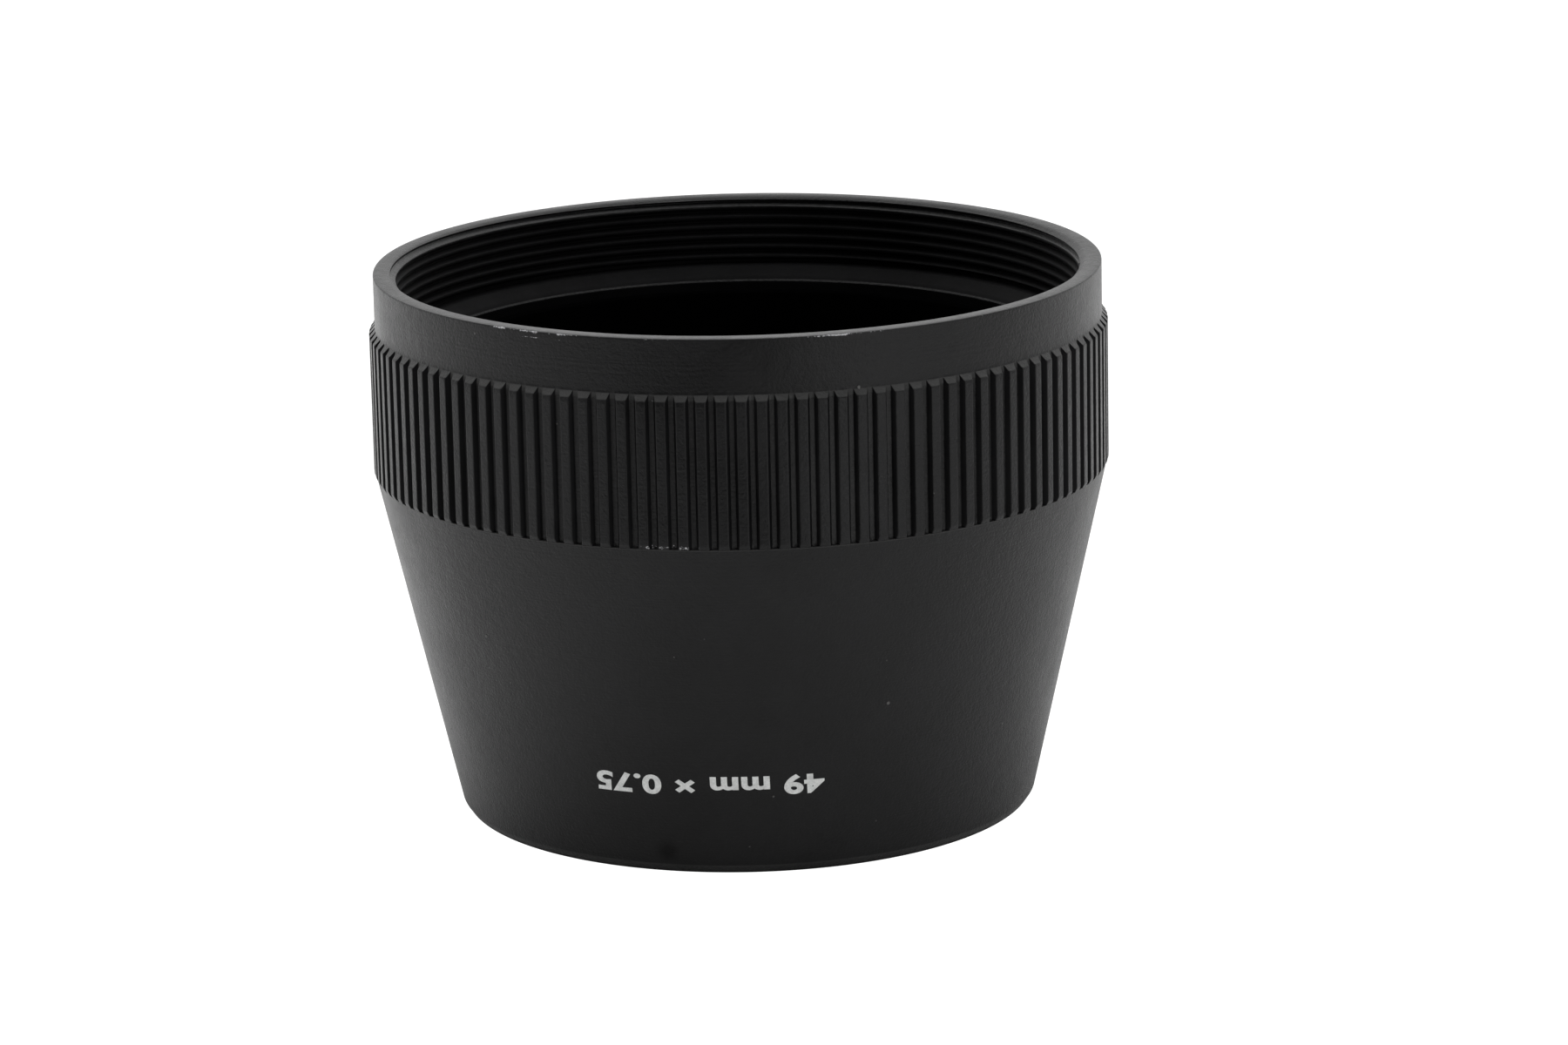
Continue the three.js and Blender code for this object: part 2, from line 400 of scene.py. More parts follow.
def wear_group():
    """Rubbed edges: two fine noises plus the piece's wear mask, over a threshold. Where the mask is 0
    nothing shows, at one half a few specks, and at 1 most of the edge is bare."""
    group, n, given, out = node_group(
        "Edge wear",
        [
            ("Vector", VECTOR, None),
            ("Edge", FLOAT, 0.0),
            ("Reach", FLOAT, 0.6),
            ("Cells per metre", FLOAT, 8500.0),
        ],
        [("Mask", FLOAT)],
    )
    fine = n.noise(given["Vector"], given["Cells per metre"], 3.0, 0.7)
    coarse = n.noise(given["Vector"], n.math("MULTIPLY", given["Cells per metre"], 0.2), 2.0, 0.5)
    level = n.math("MULTIPLY_ADD", coarse, 0.6, n.math("MULTIPLY_ADD", given["Edge"], given["Reach"], fine))
    bare = n.ramp(level, 1.14, 1.26)
    n.tree.links.new(n.math("MULTIPLY", bare, n.ramp(given["Edge"], 0.02, 0.2)), out["Mask"])
    return group


def dust_group():
    """Dust and lint: small round specks in a sparse share of voronoi cells, smaller where the cell's colour
    is darker."""
    group, n, given, out = node_group(
        "Dust",
        [("Vector", VECTOR, None), ("Cells per metre", FLOAT, 700.0), ("Share", FLOAT, 0.1)],
        [("Mask", FLOAT)],
    )
    inputs = {"Vector": given["Vector"], "Scale": given["Cells per metre"], "Randomness": 1.0}
    cells = n.add("ShaderNodeTexVoronoi", inputs=inputs)
    pick = n.add("ShaderNodeSeparateColor", inputs={"Color": cells.outputs["Color"]})
    chosen = n.math("LESS_THAN", pick.outputs[0], given["Share"])
    size = n.math("MULTIPLY_ADD", pick.outputs[1], 0.06, 0.022)
    round_speck = n.ramp(n.math("DIVIDE", cells.outputs["Distance"], size), 1.3, 0.7)
    n.tree.links.new(n.math("MULTIPLY", chosen, round_speck), out["Mask"])
    return group


def turning_group():
    """Turning marks: noise of height + radius alone, so that each line runs round the piece."""
    group, n, given, out = node_group(
        "Turning marks", [("Vector", VECTOR, None), ("Lines per metre", FLOAT, 9000.0)], [("Height", FLOAT)]
    )
    place = n.add("ShaderNodeSeparateXYZ", inputs={"Vector": given["Vector"]})
    squares = [n.math("POWER", place.outputs[index], 2.0) for index in (0, 1)]
    across = n.math("SQRT", n.math("ADD", *squares))
    line = n.math("ADD", place.outputs[2], across)
    noise = n.add(
        "ShaderNodeTexNoise",
        noise_dimensions="1D",
        inputs={"W": line, "Scale": given["Lines per metre"], "Detail": 3.0},
    )
    n.tree.links.new(noise.outputs["Fac"], out["Height"])
    return group


def group_of(name):
    """A shared node group, made the first time that it is asked for."""
    makers = {
        "Paint grain": grain_group,
        "Edge wear": wear_group,
        "Dust": dust_group,
        "Turning marks": turning_group,
    }
    return bpy.data.node_groups.get(name) or makers[name]()


def start_material(name):
    """Material with a Principled BSDF on its output: the material, its Nodes, the shader and the Object
    coordinates."""
    material = bpy.data.materials.new(name)
    material.use_nodes = True
    n = Nodes(material.node_tree)
    shader = n.add("ShaderNodeBsdfPrincipled")
    n.add("ShaderNodeOutputMaterial", inputs={"Surface": shader.outputs[0]})
    return material, n, shader, n.add("ShaderNodeTexCoord").outputs["Object"]


def use_group(n, name, inputs):
    """The named shared group as a node."""
    return n.add("ShaderNodeGroup", node_tree=group_of(name), inputs=inputs).outputs


def paint_material(name, finish, dust_share, dark_spots=(), highlight_bands=()):
    """Satin black stove paint: grain, cloudy tone, rubbed edges, a little dust, dark spots and painted light,
    a grey lightening that paints highlights on chamfers and edges and reflection into grooves. A dark spot is
    (x, y, z, radius): its share falls from 1 to 0 with the distance from the point over the radius. A band is
    (height, half-height, strength): the painted light is strength there and 0 from half the height away."""
    material, n, shader, place = start_material(name)
    grain = use_group(n, "Paint grain", {"Vector": place, "Cells per metre": PAINT_GRAIN_CELLS})
    edge = n.add("ShaderNodeAttribute", attribute_name="edge").outputs["Fac"]
    wear = use_group(n, "Edge wear", {"Vector": place, "Edge": edge, "Reach": 0.5})["Mask"]
    specks = use_group(n, "Dust", {"Vector": place, "Cells per metre": 620.0, "Share": dust_share})["Mask"]
    lint = use_group(
        n, "Dust", {"Vector": place, "Cells per metre": 1150.0, "Share": dust_share * 0.9}
    )["Mask"]
    dust = n.math("MAXIMUM", specks, n.math("MULTIPLY", lint, 0.6))
    dark = (*[c * 0.7 for c in finish.paint], 1.0)
    light = (*[c * 1.4 for c in finish.paint], 1.0)
    cloud = n.ramp(grain["Cloud"], 0.35, 0.65)
    # Painted light: this mask and the bands below grey the paint on chamfers, edges and groove floors, a
    # painted highlight and painted reflection.
    painted_light = n.add("ShaderNodeAttribute", attribute_name="painted_light").outputs["Fac"]
    up = n.add("ShaderNodeSeparateXYZ", inputs={"Vector": place}).outputs[2]
    for middle, half, strength in highlight_bands:
        gap = n.math("ABSOLUTE", n.math("SUBTRACT", up, middle))
        painted_light = n.math("MAXIMUM", painted_light, n.math("MULTIPLY", n.ramp(gap, half, 0.4 * half), strength))
    painted_light = n.math("MULTIPLY", painted_light, n.math("MULTIPLY_ADD", cloud, 0.012, 0.026))
    colour = n.mix(painted_light, n.mix(cloud, dark, light), DUST_AND_HIGHLIGHT_GREY)
    colour = n.mix(wear, colour, (*finish.bare_metal, 1.0))
    colour = n.mix(n.math("MULTIPLY", dust, 0.22), colour, DUST_AND_HIGHLIGHT_GREY)
    rough = n.math("MULTIPLY_ADD", grain["Height"], 0.14, finish.roughness - 0.11)
    rough = n.math("MULTIPLY_ADD", cloud, 0.04, rough)
    rough = n.math("MULTIPLY_ADD", dust, 0.3, rough)
    # Each dark spot turns the paint near-black and rougher round its point.
    for x, y, z, radius in dark_spots:
        gap = n.add(
            "ShaderNodeVectorMath", operation="DISTANCE", inputs={0: place, 1: (x, y, z)}
        ).outputs["Value"]
        spot = n.ramp(gap, radius, 0.1 * radius)
        colour = n.mix(n.math("MULTIPLY", spot, 0.8), colour, (0.001, 0.001, 0.001, 1.0))
        rough = n.math("MULTIPLY_ADD", spot, 0.35, rough, clamp=True)
    n.tree.links.new(colour, shader.inputs["Base Color"])
    n.tree.links.new(rough, shader.inputs["Roughness"])
    n.tree.links.new(n.math("MULTIPLY", wear, 0.5), shader.inputs["Metallic"])
    shader.inputs["Specular IOR Level"].default_value = 0.2
    marks = use_group(n, "Turning marks", {"Vector": place, "Lines per metre": PAINT_GRAIN_CELLS})["Height"]
    height = n.math("MULTIPLY_ADD", marks, 0.3, grain["Height"])
    height = n.math("MULTIPLY_ADD", dust, 2.0, height)
    bump = n.add("ShaderNodeBump", inputs={"Height": height, "Strength": 1.0, "Distance": finish.grain_depth})
    n.tree.links.new(bump.outputs[0], shader.inputs["Normal"])
    return material


def shaded_paint_material(name, finish, gloss):
    """Dull black paint in the thread and on the lip, thin and unrubbed, with the tool's lines under it. It is
    a duller, less glossy copy of the ring's paint that paints shade into the thread, onto the lip and onto
    the ribs' sides.
    """
    material, n, shader, place = start_material(name)
    grain = use_group(n, "Paint grain", {"Vector": place, "Cells per metre": 6500.0})
    marks = use_group(n, "Turning marks", {"Vector": place, "Lines per metre": 9000.0})["Height"]
    dark = (*[c * 0.8 for c in finish.paint], 1.0)
    light = (*[c * 1.6 for c in finish.paint], 1.0)
    n.tree.links.new(n.mix(n.ramp(grain["Cloud"], 0.3, 0.7), dark, light), shader.inputs["Base Color"])
    n.tree.links.new(n.math("MULTIPLY_ADD", grain["Height"], 0.12, 0.56), shader.inputs["Roughness"])
    shader.inputs["Specular IOR Level"].default_value = gloss
    height = n.math("MULTIPLY_ADD", marks, 0.4, grain["Height"])
    bump = n.add("ShaderNodeBump", inputs={"Height": height, "Strength": 1.0, "Distance": 0.004 * MM})
    n.tree.links.new(bump.outputs[0], shader.inputs["Normal"])
    return material


def turned_metal_material(name, colour, roughness, metallic=1.0):
    """Turned or rolled metal: lines round the piece in height and roughness, and a slow change of tone."""
    material, n, shader, place = start_material(name)
    marks = use_group(n, "Turning marks", {"Vector": place, "Lines per metre": 14000.0})["Height"]
    grain = use_group(n, "Paint grain", {"Vector": place, "Cells per metre": 16000.0})
    dark = (*[c * 0.82 for c in colour], 1.0)
    n.tree.links.new(
        n.mix(n.ramp(grain["Cloud"], 0.3, 0.7), dark, (*colour, 1.0)), shader.inputs["Base Color"]
    )
    n.tree.links.new(n.math("MULTIPLY_ADD", marks, 0.16, roughness - 0.08), shader.inputs["Roughness"])
    shader.inputs["Metallic"].default_value = metallic
    bump = n.add("ShaderNodeBump", inputs={"Height": marks, "Strength": 1.0, "Distance": 0.0015 * MM})
    n.tree.links.new(bump.outputs[0], shader.inputs["Normal"])
    return material


def pile_material(name, colour, cells, depth, sheen):
    """Flock or felt: short fibres as fine noise, with a soft sheen at grazing angles."""
    material, n, shader, place = start_material(name)
    fibres = n.noise(place, cells, 4.0, 0.75)
    cloud = n.noise(place, 260.0, 3.0, 0.6)
    dark, light = (*[c * 0.5 for c in colour], 1.0), (*[c * 1.8 for c in colour], 1.0)
    n.tree.links.new(n.mix(n.math("MULTIPLY", fibres, cloud), dark, light), shader.inputs["Base Color"])
    n.tree.links.new(n.math("MULTIPLY_ADD", fibres, 0.08, 0.9), shader.inputs["Roughness"])
    shader.inputs["Specular IOR Level"].default_value = 0.0
    shader.inputs["Sheen Weight"].default_value = sheen
    shader.inputs["Sheen Roughness"].default_value = 0.5
    bump = n.add("ShaderNodeBump", inputs={"Height": fibres, "Strength": 1.0, "Distance": depth})
    n.tree.links.new(bump.outputs[0], shader.inputs["Normal"])
    return material


def print_material(name, colour):
    """Pad-printed ink: flat, faintly mottled, thin where the paint's grain shows through."""
    material, n, shader, place = start_material(name)
    grain = use_group(n, "Paint grain", {"Vector": place, "Cells per metre": 9500.0})
    thin = n.ramp(grain["Height"], 0.62, 0.95, 0.0, 0.45)
    dark = (*[c * 0.55 for c in colour], 1.0)
    n.tree.links.new(n.mix(thin, (*colour, 1.0), dark), shader.inputs["Base Color"])
    n.tree.links.new(n.math("MULTIPLY_ADD", grain["Height"], 0.1, 0.5), shader.inputs["Roughness"])
    shader.inputs["Specular IOR Level"].default_value = 0.3
    bump = n.add(
        "ShaderNodeBump", inputs={"Height": grain["Height"], "Strength": 1.0, "Distance": 0.002 * MM}
    )
    n.tree.links.new(bump.outputs[0], shader.inputs["Normal"])
    return material


# Mount ring ------------------------------------------------------------------------------------

BORE_COLUMNS_PER_RIB = 3

# Thread form over one pitch, as (share of the pitch above the crest's centre, depth from crest 0 to root 1).
THREAD_FORM = np.array(
    [
        (0.0, 0.0),
        (0.075, 0.0),
        (0.12, 0.03),
        (0.16, 0.12),
        (0.28, 0.5),
        (0.40, 0.88),
        (0.43, 0.97),
        (0.46, 1.0),
        (0.54, 1.0),
        (0.57, 0.97),
        (0.60, 0.88),
        (0.72, 0.5),
        (0.84, 0.12),
        (0.88, 0.03),
        (0.925, 0.0),
    ]
)
THREAD_CREST_Z = 34.04 * MM  # a crest's centre at angle 0
RELIEF_TOP, RELIEF_CONE = 33.95 * MM, 34.15 * MM
LEAD_IN_Z = 38.35 * MM
LIP_LOW_Z, LIP_HIGH_Z = 32.57 * MM, 32.75 * MM  # the dull thread paint, with its painted shade, stops between these, on the lip

# Hidden and lower part of the bore, top to bottom: (radius, height, corner radius) in millimetres.
BORE_CORNERS = [
    (24.58, 33.72, 0.04),
    (23.9, 33.62, 0.08),
    (23.11, 32.95, 0.12),
    (22.96, 32.73, 0.0),
    (22.85, 32.56, 0.1),
    (22.85, 31.71, 0.05),
    (23.16, 31.71, 0.05),
    (23.16, 32.12, 0.03),
    (24.12, 32.12, 0.05),
    (24.12, 30.68, 0.03),
    (24.48, 30.68, 0.03),
    (24.48, 30.05, 0.03),
    (24.12, 30.05, 0.03),
    (24.12, 24.81, 0.03),
    (24.87, 24.81, 0.03),
]


# Rubbed places round the ring: (angle from the front, half-width, strength), in degrees.
RIM_WEAR = [
    (-38.0, 3.5, 0.9),
    (-33.0, 3.0, 1.0),
    (-27.0, 5.0, 0.7),
    (0.0, 60.0, 0.42),
    (15.0, 5.0, 1.05),
    (21.0, 4.0, 0.6),
    (68.0, 5.0, 0.6),
    (121.0, 9.0, 0.8),
    (168.0, 5.0, 0.6),
    (-104.0, 8.0, 0.7),
    (-149.0, 5.0, 0.6),
]
SCRATCH_WEAR = [(-32.5, 2.4, 0.85), (-28.0, 2.5, 0.7), (-22.0, 3.0, 0.55), (128.0, 4.0, 0.7)]
BAND_WEAR = [(-10.5, 7.0, 0.68), (113.0, 8.0, 0.8), (-127.0, 7.0, 0.8)]
CHAMFER_PAINTED_HIGHLIGHT, GROOVE_PAINTED_LIGHT = 1.4, 0.6  # painted light on the ribs' top chamfers (painted highlight) and in the grooves (painted reflection)


def wear_at(angle, marks):
    """Wear round the ring: for each mark strength x (1 - (distance / half-width) squared), never under 0,
    and the largest of them."""
    middle, half, strength = np.array(marks).T
    away = (np.degrees(angle)[:, None] + 90 - middle + 180) % 360 - 180
    return np.clip(strength * (1 - (away / half) ** 2), 0, None).max(1)


def knurl_rows(sizes):
    """Outside of the ring, bottom to top. Across a rib the height is a trapezium from the floor (0) to the
    rib's face (1), cut off at the row's cap c. The cut meets the rib's side at root - (root - top) c, and
    the columns move with it, so the chamfer's corners stay sharp: half-widths are that crease w plus a
    share of root - w, and heights shares of c."""
    top, root = sizes.rib_top_share / 2, sizes.rib_root_share / 2
    tall = BAND_R - RIM_R
    high, out = sizes.band_high, sizes.band_run_out
    # base radius, height, cap over the base, wear and scratch
    rows = np.array(
        [
            (RIM_R, RING_LOW - 0.02 * MM, tall * 0.70, 0.7, 0.0),
            (RIM_R, RING_LOW + 0.01 * MM, tall * 0.73, 0.9, 0.0),
            (RIM_R, RING_LOW + 0.2 * MM, tall * 0.95, 1.0, 0.0),
            (RIM_R, RING_LOW + 0.28 * MM, tall, 0.6, 0.0),
            (RIM_R, RING_LOW + 0.38 * MM, tall, 0.0, 0.0),
            (RIM_R, high - 0.3 * MM, tall, 0.0, 0.0),
            (RIM_R, high - 0.04 * MM, tall, 0.3, 0.0),
            (RIM_R, high + 0.03 * MM, tall * 0.93, 0.5, 0.0),
            (RIM_R, high + 0.09 * MM, tall * 0.78, 0.1, 0.0),
            (RIM_R, out - 0.03 * MM, tall * 0.08, 0.0, 0.0),
            (RIM_R, out + 0.02 * MM, 0.0, 0.0, 0.0),
            (RIM_R, out + 0.2 * MM, 0.0, 0.0, 0.0),
            (RIM_R, RING_HIGH - 0.52 * MM, 0.0, 0.0, 0.0),
            (RIM_R, RING_HIGH - 0.44 * MM, 0.0, 0.0, 1.0),
            (RIM_R, RING_HIGH - 0.36 * MM, 0.0, 0.0, 0.0),
            (RIM_R, RING_HIGH - 0.18 * MM, 0.0, 0.1, 0.0),
            (RIM_R, RING_HIGH - 0.11 * MM, 0.0, 0.7, 0.0),
            (RIM_R - 0.012 * MM, RING_HIGH - 0.05 * MM, 0.0, 1.0, 0.0),
            (RIM_R - 0.05 * MM, RING_HIGH - 0.012 * MM, 0.0, 0.7, 0.0),
            (RIM_R - 0.11 * MM, RING_HIGH, 0.0, 0.2, 0.0),
        ]
    )
    cap = rows[:, 2][:, None] / tall
    crease = root - (root - top) * cap
    # offset from the crease, share of root - crease, share of the cap
    half = np.array(
        [(0.02, 1.0, 0.0), (0.004, 0.9, 0.08), (0.002, 0.1, 0.93), (-0.018, 0.0, 1.0), (-0.06, 0.0, 1.0)]
    )
    width = crease + half[:, 0] + half[:, 1] * (root - crease)
    height = cap * half[:, 2]
    across = np.concatenate([-width, width[:, ::-1]], 1)
    height = np.concatenate([height, height[:, ::-1]], 1)
    ribs = np.arange(sizes.rib_count)[None, :, None] + sizes.rib_start
    angle = ((ribs + across[:, None, :]) * (TAU / sizes.rib_count)).reshape(len(rows), -1)
    height = np.tile(height, (1, sizes.rib_count))
    floor = height < 0.01
    radius = rows[:, 0][:, None] + tall * height
    z = np.repeat(rows[:, 1][:, None], angle.shape[1], 1)
    points = np.stack([radius * np.cos(angle), radius * np.sin(angle), z], -1)
    worn = np.where(
        rows[:, 2] > 0, wear_at(angle[0], BAND_WEAR)[:, None], wear_at(angle[0], RIM_WEAR)[:, None]
    ).T
    edge = rows[:, 3][:, None] * worn + rows[:, 4][:, None] * wear_at(angle[0], SCRATCH_WEAR)
    # Painted light: the ribs' top chamfers and the groove floors are lightened towards grey by this mask.
    cut = (rows[:, 1] > high + 0.05 * MM) & (rows[:, 1] < out)
    painted_light = np.where(cut[:, None], CHAMFER_PAINTED_HIGHLIGHT, np.where(floor & (cap > 0), GROOVE_PAINTED_LIGHT, 0.0))
    return points, edge, painted_light


def thread_rows(sizes, angle):
    """Threaded part of the bore. Row j stands at crest height + pitch x (turn + form share of j), held
    between the relief and the mouth, so each row follows the helix, and rows that have left the thread lie
    on one another and are merged. radius = the largest of the thread form, the relief's cone and the
    mouth's cone."""
    low, high = RELIEF_TOP, RING_HIGH - 0.06 * MM
    pitch = sizes.thread_pitch
    first = math.floor((low - THREAD_CREST_Z) / pitch) - 1
    last = math.ceil((high - THREAD_CREST_Z) / pitch)
    steps = (np.arange(first, last + 1)[:, None] + THREAD_FORM[:, 0]).ravel()
    z = np.clip(THREAD_CREST_Z + pitch * (angle / TAU + steps[:, None]), low, high)
    phase = np.mod((z - THREAD_CREST_Z) / pitch - angle / TAU, 1.0)
    form = np.interp(phase, np.append(THREAD_FORM[:, 0], 1.0), np.append(THREAD_FORM[:, 1], 0.0))
    crest, deep = sizes.thread_crest, sizes.thread_root - sizes.thread_crest
    relief = np.interp(z, [low, RELIEF_CONE], [sizes.relief_radius, crest])
    mouth = np.interp(z, [LEAD_IN_Z, RING_HIGH], [crest, MOUTH_R])
    radius = np.maximum(crest + deep * form, np.maximum(relief, mouth))
    points = np.stack([radius * np.cos(angle), radius * np.sin(angle), z], -1)
    return points, len(THREAD_FORM)


def thread_faces(rows, columns, per_turn):
    """Quads of the threaded grid. The last column joins the first one per_turn rows higher, which closes
    the helix."""
    faces = grid_faces(rows, columns, False, False)
    j = np.arange(rows - 1)
    raised = np.minimum(j + per_turn, rows - 1)
    raised_next = np.minimum(j + 1 + per_turn, rows - 1)
    end = columns - 1
    seam = np.stack([j * columns + end, (j + 1) * columns + end, raised_next * columns, raised * columns], -1)
    return np.concatenate([faces, seam])


def flat_bridge(ribs, split, first_out, first_in):
    """Polygons of a flat ring face. split lists, for one rib, the outer columns where its inner columns
    meet: each polygon takes one side of the inner edge and the outer sides from one split to the next."""
    per_rib, inner = split[-1], len(split) - 1
    rib = np.arange(ribs)[:, None]
    faces = []
    for index, (a, b) in enumerate(zip(split, split[1:])):
        outer_side = (rib * per_rib + np.arange(a, b + 1)) % (ribs * per_rib) + first_out
        inner_side = (rib * inner + np.array([index + 1, index])) % (ribs * inner) + first_in
        faces.append(np.concatenate([outer_side, inner_side], 1))
    return faces


def bore_profile():
    """Stepped bore from the underside up to the relief's top, with its corners rounded."""
    closing = [(24.87, 23.8, 0.0), (26.9, 23.8, 0.0), (26.9, 33.95, 0.0), (24.58, 33.95, 0.0)]
    corners = rounded([(r * MM, z * MM, c * MM) for r, z, c in BORE_CORNERS + closing], 0)
    kept = len(corners) * len(BORE_CORNERS) // (len(BORE_CORNERS) + len(closing))
    ends = [(24.87 * MM, RING_LOW + 0.05 * MM), (24.9 * MM, RING_LOW)]
    return np.vstack([corners[:kept], ends])[::-1]


def build_mount_ring(sizes, paint, thread_shade_paint, lip_shade_paint):
    """The ring as one closed mesh: knurled outside, flat end face, threaded mouth, stepped bore and flat
    underside."""
    outside, edge_out, painted_light_out = knurl_rows(sizes)
    per_rib = outside.shape[1] // sizes.rib_count
    columns = sizes.rib_count * BORE_COLUMNS_PER_RIB
    angle = np.arange(columns) * (TAU / columns)
    mouth = np.array([(MOUTH_R - 0.012 * MM, RING_HIGH - 0.04 * MM), (MOUTH_R + 0.04 * MM, RING_HIGH)])
    thread, per_turn = thread_rows(sizes, angle)
    lower = bore_profile()
    below, above = turned(lower, columns), turned(mouth, columns)
    bore = np.concatenate([below, thread, above])
    n_out = outside.shape[0] * outside.shape[1]
    points = np.concatenate([outside.reshape(-1, 3), bore.reshape(-1, 3)])
    rows_below, rows_thread = len(below), len(thread)
    faces_out = grid_faces(outside.shape[0], outside.shape[1], False, True)
    start_thread = n_out + rows_below * columns
    start_above = start_thread + rows_thread * columns
    faces_below = grid_faces(rows_below + 1, columns, False, True) + n_out
    faces_thread = thread_faces(rows_thread, columns, per_turn) + start_thread
    faces_above = grid_faces(3, columns, False, True) + (start_above - columns)
    split = [0, 3, 7, per_rib]  # the outer columns that face one rib's inner columns
    top_row = (outside.shape[0] - 1) * outside.shape[1]
    last_row = n_out + (len(bore) - 1) * columns
    top = flat_bridge(sizes.rib_count, split, top_row, last_row)
    under = flat_bridge(sizes.rib_count, split, 0, n_out)
    quads = np.concatenate([faces_out, faces_below, faces_thread, faces_above])
    plain = np.zeros(bore.shape[0] * columns)
    masks = {"edge": np.append(edge_out, plain), "painted_light": np.append(painted_light_out, plain)}
    ring = mesh_object(
        "mount_ring_knurled", points, [quads, *top, *under], "collar", "mount_ring", masks
    )
    ring.data.materials.append(paint)
    ring.data.materials.append(thread_shade_paint)
    ring.data.materials.append(lip_shade_paint)
    centre, facing = np.empty((2, len(ring.data.polygons) * 3), np.float32)
    ring.data.polygons.foreach_get("center", centre)
    ring.data.polygons.foreach_get("normal", facing)
    centre, facing = centre.reshape(-1, 3), facing.reshape(-1, 3)
    r, z = np.hypot(centre[:, 0], centre[:, 1]), centre[:, 2]
    outward = (centre[:, :2] * facing[:, :2]).sum(1) / r
    in_bore = r < sizes.thread_root + 0.06 * MM
    in_thread = in_bore & (z > LIP_HIGH_Z) & (z < RING_HIGH - 0.8 * MM)
    on_lip = in_bore & (z < LIP_LOW_Z)
    # Painted shade: the thread, the lip and the ribs' sides take the duller copies of the paint, so these
    # recesses read darker.
    rib_side = (r > RIM_R + 0.02 * MM) & (np.abs(facing[:, 2]) < 0.3) & (outward < 0.8)
    ring.data.polygons.foreach_set(
        "material_index", (in_thread | rib_side).astype(np.int32) + 2 * on_lip.astype(np.int32)
    )


# Shell, lining and small rings -----------------------------------------------------------------

# Shell outline, anticlockwise from the front bore's foot: (radius, height, corner radius) in millimetres.
SHELL_CORNERS = [
    (19.38, 0.0, 0.08),
    (20.26, 0.0, 0.08),
    (20.62, 0.52, 0.06),
    (25.97, 24.38, 0.05),
    (24.04, 24.38, 0.05),
    (24.04, 30.05, 0.03),
    (23.58, 30.05, 0.03),
    (23.58, 30.68, 0.03),
    (24.04, 30.68, 0.03),
    (24.04, 31.3, 0.08),
    (22.7, 31.3, 0.08),
    (22.7, 24.87, 0.3),
    (19.38, 2.28, 0.2),
]
LINER_CORNERS = [
    (18.71, 2.28, 0.2),
    (19.33, 2.28, 0.1),
    (22.65, 24.87, 0.3),
    (22.65, 32.02, 0.05),
    (22.02, 32.02, 0.2),
    (22.02, 24.87, 0.3),
]
FRONT_RING_CORNERS = [
    (18.71, 0.21, 0.06),
    (19.33, 0.21, 0.06),
    (19.33, 2.18, 0.06),
    (18.24, 2.18, 0.08),
    (18.24, 0.67, 0.06),
]
WASHER_CORNERS = [(23.27, 31.88, 0.05), (23.99, 31.88, 0.05), (23.99, 32.08, 0.05), (23.27, 32.08, 0.05)]
FELT_CORNERS = [(24.17, 24.38, 0.12), (24.79, 24.38, 0.12), (24.79, 24.78, 0.12), (24.17, 24.78, 0.12)]
WIRE_CORNERS = [(23.69, 30.11, 0.1), (24.35, 30.11, 0.1), (24.35, 30.61, 0.1), (23.69, 30.61, 0.1)]
SPRING_CORNERS = [(23.27, 31.49, 0.04), (23.94, 31.49, 0.04), (23.94, 31.68, 0.04), (23.27, 31.68, 0.04)]
SPRING_WAVES, SPRING_LIFT = 6, 0.13 * MM
WIRE_GAP = math.radians(9)
SLOT_HALF_WIDTH, SLOT_FLOOR = 0.62 * MM, 0.94 * MM
FRONT_RING_MID_R = 18.96 * MM
CONE_LOW, CONE_HIGH = (20.62 * MM, 0.52 * MM), (25.97 * MM, 24.35 * MM)
# Painted highlight on the shell's top edge and painted light on its foot and foot chamfer, a grey lightening
# of the paint: (height, half-height, strength).
SHELL_PAINTED_HIGHLIGHT = [(24.37 * MM, 0.1 * MM, 1.3), (0.25 * MM, 0.34 * MM, 0.8), (0.56 * MM, 0.1 * MM, 1.2)]
# Darker, rougher round patches on the shell: (x, y, z, radius).
SHELL_DARK_SPOTS = [(-5.5 * MM, -20.1 * MM, 1.6 * MM, 1.25 * MM), (13.6 * MM, 16.8 * MM, 7.3 * MM, 1.65 * MM)]


def outline(corners, steps=3):
    """Corner list in millimetres as a rounded closed profile in metres."""
    return rounded([(r * MM, z * MM, c * MM) for r, z, c in corners], CORNER, steps)


def build_front_ring(material):
    """Turned ring whose lower face drops into two spanner slots: height = the slot's floor where |y| is
    under half the slot's width, for the profile's points that lie below that floor."""
    profile = outline(FRONT_RING_CORNERS)
    edge = math.asin(SLOT_HALF_WIDTH / FRONT_RING_MID_R)
    side = np.array([-0.006, -0.0006, 0.0006, 0.02])  # columns on each side of a slot's wall
    near = np.concatenate([-(edge + side)[::-1], [0.0], edge + side])
    between = np.linspace(edge + 0.05, math.pi - edge - 0.05, 90)
    angle = np.concatenate([near, between, near + math.pi, between + math.pi])
    in_slot = np.abs(FRONT_RING_MID_R * np.sin(angle)) < SLOT_HALF_WIDTH
    r, z = profile[:, 0][:, None], profile[:, 1][:, None]
    z = np.where(in_slot[None, :] & (z < SLOT_FLOOR), SLOT_FLOOR, z + 0 * angle[None, :])
    points = np.stack([r * np.cos(angle), r * np.sin(angle), z], -1)
    faces = grid_faces(len(profile), len(angle), True, True)
    ring = mesh_object(
        "front_ring_slotted", points.reshape(-1, 3), [faces], "hood", "front_ring"
    )
    ring.data.materials.append(material)


